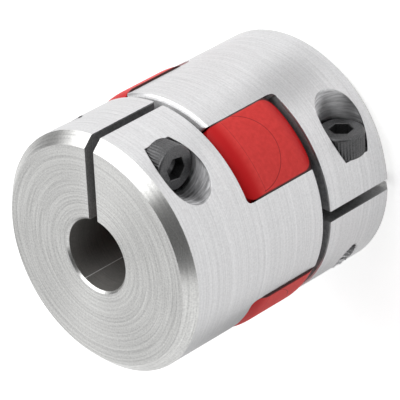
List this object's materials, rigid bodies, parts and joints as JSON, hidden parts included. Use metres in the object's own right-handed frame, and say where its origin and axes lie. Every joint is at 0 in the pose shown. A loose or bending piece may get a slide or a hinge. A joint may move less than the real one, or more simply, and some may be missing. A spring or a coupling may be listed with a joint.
{
  "type": "jaw coupling",
  "caption": "Flexible shaft coupling: aluminium clamping hubs with interlocking jaws, a red elastomer spider between them, and a cap screw across the slit of each hub.",
  "frame": {"origin": "centre of the lower hub's end face, on the axis of rotation", "axes": "+Z along the axis of rotation, from the lower hub to the upper hub; +X through the slit of the lower hub; +Y through the slit of the upper hub"},
  "size_m": [0.03, 0.03, 0.035],
  "materials": {
    "hub_aluminium": "bright turned aluminium with fine tool marks",
    "spider_elastomer": "satin red polyurethane",
    "screw_steel": "black oxide"
  },
  "bodies": {
    "root": {"lower_hub": "hub_aluminium", "upper_hub": "hub_aluminium", "spider": "spider_elastomer", "lower_clamp_screw": "screw_steel", "upper_clamp_screw": "screw_steel"}
  },
  "joints": []
}
